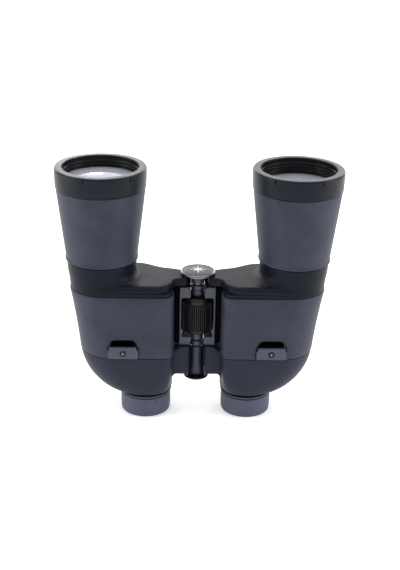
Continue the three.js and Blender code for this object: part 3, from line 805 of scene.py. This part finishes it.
# %% Lug of the rear cover and the slot for each focus arm
lug = plate("lug", rounded(
    [(5.8, 31.2), (19, 31.2), (19, 49.9), (15.4, 49.9), (12.6, 52.8), (5.8, 52.8)],
    [1.6, 0, 0, 0.8, 2.2, 1.2])[:-1], -10.6, 7, axis="Y", bevel=0.9, segments=4)
under = plate("under", [(19, 25.5), (19, 32), (13.2, 32), (13.6, 31.2), *arc(12.2, 25.6, 5.6, 80, 8, 8)],
              -8.6, 5.5, axis="Y", bevel=0.5)
lug = join(lug, under)
cover = join(cover, lug)
for side, sign, low in (("right", 1, 38), ("left", -1, 43)):
    if sign > 0:
        piece = cover.copy()
        piece.data = cover.data.copy()
        bpy.context.collection.objects.link(piece)
        piece.name = piece.data.name = "right_rear_cover"
    else:
        piece = mirror_to_left(cover, "left_rear_cover")
    x0, x1 = sorted((sign * 5, sign * 21.2))
    slot = block("slot", (x0, 0.7, low - 5.4), (x1, 5.5, low + 5.4), 0)
    join(piece, slot, "DIFFERENCE")
    close_up(piece, 40)
    place(piece, "rear_rubber", HALF[side], side + "_rear_cover")
bpy.data.objects.remove(cover, do_unlink=True)
deselect()
bpy.ops.mesh.primitive_uv_sphere_add(segments=24, ring_count=12, radius=MM,
                                     location=(-OCULAR_X * MM, -0.0187, 0.0204), scale=(0.9, 0.45, 1.3))
dot = close_up(settle(rename("left_index_mark")))
place(dot, "rear_rubber", "left_half", "left_rear_cover")
print("rear covers and the index mark are in place")

# %% [markdown]
# ## Strap lugs
# A small plate is screwed over a pocket, and the strap loops behind its raised bar. A thin black strip
# under the plate is a painted shadow line round it. The screw is black, with a bright cross in its recess
# as a painted highlight.

# %% Strap lug and its screw
LUG_Y = node_box("right_strap_lug")[0][1]


def soft_plate(name, half, low, high, corner, y0, y1, bevel):
    shape = rounded([(STRAP_X - half, low), (STRAP_X + half, low), (STRAP_X + half, high),
                     (STRAP_X - half, high)], corner)[:-1]
    return plate(name, shape, y0, y1, axis="Y", bevel=bevel)


SCREW_Z = 54.9
shape = rounded([(STRAP_X - 10.45, 50.9), (STRAP_X + 10.45, 50.9), (STRAP_X + 10.45, 57.2),
                 (STRAP_X + 9.4, 57.4), (STRAP_X + 9.4, 60), (STRAP_X - 9.4, 60), (STRAP_X - 9.4, 57.4),
                 (STRAP_X - 10.45, 57.2)], [0.8, 0.8, 0.5, 0.4, 1, 1, 0.4, 0.5])[:-1]
lug = plate("strap_lug", shape, -26.4, -25.3, axis="Y", bevel=0.3)
hole = turned("hole", [(0, -1), (2.3, -1), (2.3, 1), (0, 1)], 0, 48)
facing_out = Matrix.Rotation(math.pi / 2, 4, "X")
hole.data.transform(Matrix.Translation((STRAP_X * MM, -0.0267, SCREW_Z * MM)) @ facing_out)
join(lug, hole, "DIFFERENCE")
lug = merged("strap_lug", close_up(lug, 30), soft_plate("bar", 9.4, 57.4, 60, 0.8, LUG_Y, -25.6, 0.7),
             soft_plate("pad", 7.5, 51.3, 55.9, 0.5, -25.6, -23.8, 0.2))
both_halves(lug, "grey_metal", "strap_lug")
# A thin black strip under the plate: a painted shadow line.
both_halves(soft_plate("strap_painted_shadow_strip", 10.7, 50.35, 52, 0.5, -25.8, -25, 0.15), "grey_metal", "strap_lug",
            look="blackened_metal")
socket = turned("strap_screw_socket", rounded(
    [(2.2, -0.65), (2.2, 0.35), (1.35, 0.35), (1.35, -0.65)], 0.1), 0, 48)
head = turned("strap_screw", [(0, -0.5), (1.35, -0.5), (1.38, 0.3), (1.2, 0.5), (0, 0.6)], 0, 48)
for size in ((0.95, 0.2), (0.2, 0.95)):
    join(head, block("cross", (-size[0], -size[1], 0.1), (size[0], size[1], 2), 0), "DIFFERENCE")
# A bright cross in the screw's recess: a painted highlight.
drive = join(block("strap_screw_highlight_cross", (-0.95, -0.2, -0.2), (0.95, 0.2, 0.25), 0),
             block("cross", (-0.2, -0.95, -0.2), (0.2, 0.95, 0.25), 0))
for piece, look in ((socket, "blackened_metal"), (head, "blackened_metal"), (drive, "cap_rosette")):
    piece.data.transform(Matrix.Translation((STRAP_X * MM, -0.0264, SCREW_Z * MM)) @ facing_out)
    both_halves(close_up(piece), "steel", "strap_screw", look=look)

# %% [markdown]
# ## Eyepieces
# A tube slides inside the rear cover; a thin ring closes its end and a soft cup sits on that. The ring is
# grooved, so two dark lines show above the cup; between them the ring has the lighter grey metal instead
# of its black, a painted highlight.

# %% Tube, ring and eyecup
OCULARS = {"right": "right_ocular", "left": "left_ocular"}
tube = turned("ocular_tube", rounded([(14, 16.7), (14, 47), (12.7, 47), (12.7, 16.7)], 0.3), OCULAR_X)
both_halves(tube, "blackened_metal", "ocular_tube", OCULARS)
band = turned("ocular_ring", rounded(
    [(17.6, 14.8), (17.6, 15.5), (18.4, 15.5), (18.4, 16.4), (12.3, 16.4), (12.3, 14.8)],
    [0.1, 0.1, 0.25, 0.25, 0.2, 0.2]), OCULAR_X, 128)
# The grey metal on this black ring is a painted highlight.
both_halves(band, "black_ring", "ocular_ring", OCULARS, look="grey_metal")
for side, sign, bore, body in (("right", 1, 12.3, "right_ocular"), ("left", -1, 13.8, "left_diopter")):
    cup = turned(side + "_eyecup", rounded(
        [(CUP_R, CUP_TOP), (CUP_R, 4), (17.4, 0), (14.6, 0), (14.2, 8.4), (bore, 8.7), (bore, CUP_TOP)],
        [0.7, 4, 1.6, 0.8, 0.5, 0.3, 0.2], 6), sign * OCULAR_X, 128)
    place(cup, "eyecup_rubber", body, side + "_eyecup")
print("eyecups", len(cup.data.polygons), "faces")

# %% [markdown]
# The left cup is also the grip of the diopter ring, so it carries the usual marks: minus, a pair of dots
# and plus. They're thin black bars that follow the cup.

# %% Marks on the left cup
def mark(width, height, turn, lift):
    """A thin raised bar on the cup, at an angle from the front."""
    piece = block("mark", (-width / 2, -CUP_R - 0.04, lift - height / 2),
                  (width / 2, -CUP_R + 0.3, lift + height / 2), 0.02)
    around = Matrix.Rotation(math.radians(turn), 4, "Z")
    piece.data.transform(Matrix.Translation((-OCULAR_X * MM, 0, 0)) @ around)
    return piece


marks = merged("left_diopter_marks", mark(1.6, 0.5, -30, 11.6), mark(0.6, 0.6, -2.4, 11.6),
               mark(0.6, 0.6, 1.6, 11.6), mark(1.6, 0.5, 27, 11.6), mark(0.5, 1.6, 27, 11.6))
place(marks, "blackened_metal", "left_diopter", "left_eyecup")

# %% [markdown]
# Inside each cup a black cell holds the eye lens, a small lens that bulges on both sides.

# %% Eye lens and its cell
cell = turned("eye_cell", rounded([(11.9, 8.4), (11.9, 20), (9.9, 20), (9.9, 11), (10.6, 8.4)],
                                  [0.3, 0.2, 0.2, 0.4, 0.3]), OCULAR_X)
both_halves(cell, "blackened_metal", "eye_cell", {"right": "right_ocular", "left": "left_eye_cell"})
lens = turned("eye_lens", lens_profile(9.6, 11, -1.2, 13, 1.4), OCULAR_X)
both_halves(lens, "coated_glass", "eye_lens", {"right": "right_ocular", "left": "left_eye_cell"})

# %% [markdown]
# ## Focus wheel
# Forty-two ribs run round the grip, with a narrow smooth band above. The wheel is one stack of rings; the
# radius of each point comes from where it stands in a rib and how far the ribs have risen.

# %% Wheel rings
RIBS, STEPS = 42, 8
WHEEL_LEVELS = [
    (8.2, 61.4, 0), (8.6, 61.5, 0), (9.7, 62.3, 0), (10.1, 63, 0), (10.2, 63.5, 0), (10.25, 63.9, 0),
    (10.45, 64.2, 0.6), (10.5, 64.7, 1), (10.5, 70, 1), (10.5, 78, 1), (10.5, 83.5, 1), (10.45, 84, 0.6),
    (9.85, 84.3, 0), (9.8, 84.6, 0), (10.15, 84.8, 0), (10.25, 85, 0), (10.25, 87, 0), (10.15, 87.3, 0),
    (9.7, 87.9, 0), (9, 88.6, 0), (8.6, 88.8, 0), (2.7, 88.8, 0), (2.7, 61.4, 0)]
RIB_DEPTHS = (1.1, 0.85, 0.12, 0.03, 0, 0.03, 0.12, 0.85)
rings = []
for radius, z, ribbed in WHEEL_LEVELS:
    ring = []
    for i in range(RIBS * STEPS):
        turn = 2 * math.pi * i / (RIBS * STEPS)
        r = radius - ribbed * RIB_DEPTHS[i % STEPS]
        ring.append((r * math.cos(turn), r * math.sin(turn), z))
    rings.append(ring)
wheel = stack("focus_wheel_grip", [*rings, rings[0]], 50)
place(wheel, "wheel_rubber", "focus_wheel", "focus_wheel")
print("focus wheel", len(wheel.data.polygons), "faces")

# %% [markdown]
# ## Hinge pieces
# One axle runs through both pairs of knuckles. Its cap above is a satin aluminium disc with a rounded edge,
# a low dome and a plain eight-ray rosette.

# %% Hinge cap with its rosette
cap = turned("hinge_cap_disc", [
    (0, 99.4), *rounded([(2.9, 99.4), (2.9, 105.1), (12.1, 105.1), (12.1, 106.6), (11.2, 107.25),
                         (10.5, 107.1), (10.5, 106.4), (0, 106.4)],
                        [0.3, 0.3, 0.6, 0.5, 0.3, 0.3, 0.1, 0], 5)[:-1]], 0, 128)
place(cap, "cap_metal", "hinge_cap", "hinge_cap")
dome = turned("hinge_cap_dome", [
    (0, 106.5), (10.4, 106.5), (10.4, 106.95), (10.2, 107.1), (9, 107.3), (7, 107.5), (5, 107.65),
    (2.5, 107.76), (0, 107.8)], 0, 128)
# The dome's darker copy of the cap metal is painted shade.
place(dome, "cap_metal", "hinge_cap", "hinge_cap", look="cap_dome")
rays = [(r * math.cos(math.pi * k / 8), r * math.sin(math.pi * k / 8))
        for k, r in enumerate([7.6, 2, 5.4, 2] * 4)]
star = plate("hinge_cap_rosette", rays, 107.3, 107.9, bevel=0.14)
place(star, "cap_metal", "hinge_cap", "hinge_cap", look="cap_rosette")
print("hinge cap", len(cap.data.polygons), "faces")

# %% [markdown]
# Below the wheel an open tube guides the focus nut, between two dark rails and under a thin washer. A
# shallow disc closes it from below.

# %% Axle, collar, tube and lower cap
axle = turned("hinge_axle_rod", [
    (0, 27.6), *rounded([(4, 27.6), (4, 28.8), (1.5, 28.8), (1.5, 97.2), (3.4, 97.2), (3.4, 98)], 0.2)[:-1],
    (0, 98)], 0, 48)
place(axle, "steel", "left_half", "hinge_axle")
collar = turned("wheel_collar_ring", rounded(
    [(4.7, 89.1), (4.7, 93.2), (1.75, 93.2), (1.75, 89.1)], 0.3), 0, 64)
place(collar, "grey_metal", "left_half", "wheel_collar")
guide = plate("focus_guide_tube", [*arc(0, 0, 5, 170, 370, 41), *arc(0, 0, 4.4, 370, 170, 41)],
              27.6, 50.4, bevel=0.15)
place(guide, "anodised_tube", "left_half", "centre_tube")
for k, (x0, x1, top_z) in enumerate(((5, 5.7, 50.4), (-5.7, -5, 52.9))):
    rail = block(f"focus_guide_rail_{k + 1}", (x0, -4, 27.6), (x1, 0.4, top_z), 0.06)
    place(rail, "blackened_metal", "left_half", "centre_tube")
washer = turned("focus_guide_washer", rounded(
    [(5.7, 50.15), (5.7, 50.6), (4.5, 50.6), (4.5, 50.15)], 0.08), 0, 64)
place(washer, "blackened_metal", "left_half", "centre_tube")
foot = turned("hinge_bottom_disc", [
    (0, 24.6), (3, 24.62), (6, 24.8), (8, 25.35), (8.7, 25.8), (9, 26.4), (9, 27), (8.8, 27.3),
    (0, 27.3)], 0, 96)
place(foot, "blackened_metal", "left_half", "hinge_bottom_cap")

# %% [markdown]
# ## What comes over from the fixed model
# The prisms, their plates and clips, the inner lenses, the tubes and the focus drive are hidden behind the
# pieces above. They keep their shape and get the finish of their slot.

# %% Finishes for the nodes that stay
for entry in frame["record"]["subparts"]:
    node = frame["nodes"][entry["node"]]
    node.data.materials.clear()
    node.data.materials.append(MATERIALS[entry["material_slot"]])

# %% [markdown]
# ## Studio
# A plain pale floor runs past the view on all sides. The surround is white at the horizon and darker
# overhead, so the floor has no visible end and the tops of the pieces keep their tone.

# %% Floor and surround
FLOOR_SIZE = 60
HORIZON = (("From Min", 0.18), ("From Max", 0.5), ("To Min", 1.0), ("To Max", 0.4))
deselect()
bpy.ops.mesh.primitive_plane_add(size=FLOOR_SIZE, location=(0, 0, 0))
floor = rename("studio_floor")
paper = bpy.data.materials.new("paper")
paper.use_nodes = True
sheet = paper.node_tree.nodes["Principled BSDF"]
sheet.inputs["Base Color"].default_value = (0.9, 0.9, 0.9, 1)
sheet.inputs["Roughness"].default_value = 0.9
sheet.inputs["Emission Color"].default_value = (1, 1, 1, 1)
sheet.inputs["Emission Strength"].default_value = 0.25
floor.data.materials.append(paper)

scene = bpy.context.scene
world = bpy.data.worlds.new("studio")
world.use_nodes = True
world.node_tree.nodes["Background"].inputs["Color"].default_value = (1, 1, 1, 1)
nodes, wires = world.node_tree.nodes, world.node_tree.links
direction = nodes.new("ShaderNodeTexCoord")
split = nodes.new("ShaderNodeSeparateXYZ")
fade = nodes.new("ShaderNodeMapRange")
for socket, value in HORIZON:
    fade.inputs[socket].default_value = value
wires.new(direction.outputs["Generated"], split.inputs["Vector"])
wires.new(split.outputs["Z"], fade.inputs["Value"])
wires.new(fade.outputs["Result"], nodes["Background"].inputs["Strength"])
scene.world = world
scene.view_settings.view_transform = "Standard"
print("floor and surround are in place")

# %% [markdown]
# One large softbox above and behind lights the tops and the rims. Boxes and strips on both sides draw the
# light edges of the barrels, a small one is there for its reflection in the left front lens, and a very
# broad sun lights from overhead.

# %% Lights
def softbox(name, place, target, size, power):
    deselect()
    bpy.ops.object.light_add(type="AREA", location=place)
    lamp = bpy.context.object
    lamp.name = name
    lamp.data.shape = "RECTANGLE"
    lamp.data.size, lamp.data.size_y = size
    lamp.data.energy = power
    lamp.rotation_euler = (Vector(place) - Vector(target)).to_track_quat("Z", "Y").to_euler()
    return lamp


softbox("back_box", (0, 1.3, 0.8), (0, 0, 0.15), (2.4, 0.9), 11)
softbox("left_box", (-1.0, -0.15, 0.45), (0, 0, 0.1), (0.5, 0.8), 6.5)
softbox("right_box", (1.0, -0.15, 0.45), (0, 0, 0.1), (0.5, 0.8), 6.5)
softbox("left_strip", (-0.8, 1.15, 0.42), (0, 0, 0.11), (0.35, 0.3), 2.6)
softbox("right_strip", (0.8, 1.15, 0.42), (0, 0, 0.11), (0.35, 0.3), 2.6)
softbox("lens_light", (-0.185, 1.2, 0.535), (-0.066, 0, 0.175), (0.09, 0.07), 0.4)
deselect()
bpy.ops.object.light_add(type="SUN", location=(0, 0, 2))
sky = bpy.context.object
sky.name = "overhead"
sky.data.energy = 2.0
sky.data.angle = math.radians(80)
print("six softboxes and the overhead light are on")

# %% [markdown]
# The camera looks from in front and about 23 degrees above, a touch from the left, and is rolled by about
# one degree.

# %% Camera
CAMERA_PLACE = (-0.0191, -0.682, 0.3854)
yaw, rise, roll = (math.radians(a) for a in (-1.74, 22.99, 1.23))
back = Vector((math.sin(yaw) * math.cos(rise), -math.cos(yaw) * math.cos(rise), math.sin(rise)))
across = (-back).cross(Vector((0, 0, 1))).normalized()
upward = across.cross(-back)
side_axis = across * math.cos(roll) + upward * math.sin(roll)
top_axis = upward * math.cos(roll) - across * math.sin(roll)
camera_data = bpy.data.cameras.new("camera")
camera_data.lens = 67.0
camera_data.sensor_width = 36
camera_data.clip_start = 0.01
camera = bpy.data.objects.new("camera", camera_data)
bpy.context.collection.objects.link(camera)
turn = Matrix((side_axis, top_axis, back)).transposed()
camera.matrix_world = Matrix.Translation(CAMERA_PLACE) @ turn.to_4x4()
scene.camera = camera
print("camera at", [round(v, 3) for v in camera.location])
